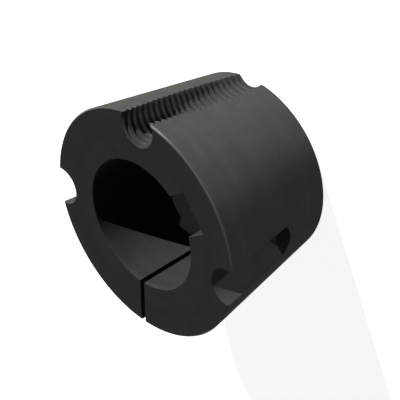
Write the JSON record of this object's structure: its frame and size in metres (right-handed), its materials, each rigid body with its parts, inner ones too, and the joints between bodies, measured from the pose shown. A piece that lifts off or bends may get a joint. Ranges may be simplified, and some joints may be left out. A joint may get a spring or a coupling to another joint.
{
  "type": "taper bush",
  "caption": "Split iron taper bush with a keyed bore, a threaded jacking half hole and plain clamping half holes, for fixing a tapered hub to a shaft.",
  "frame": {"origin": "centre of the bore at the small face, on which the bush stands", "axes": "+Z along the bore axis, from the small face up to the large face; +Y towards the threaded half hole, and -Y towards the slit"},
  "size_m": [0.0348, 0.0348, 0.0222],
  "materials": {
    "blackened_iron": "satin black phosphate over turned iron"
  },
  "bodies": {
    "root": {"taper_bush": "blackened_iron"}
  },
  "joints": []
}
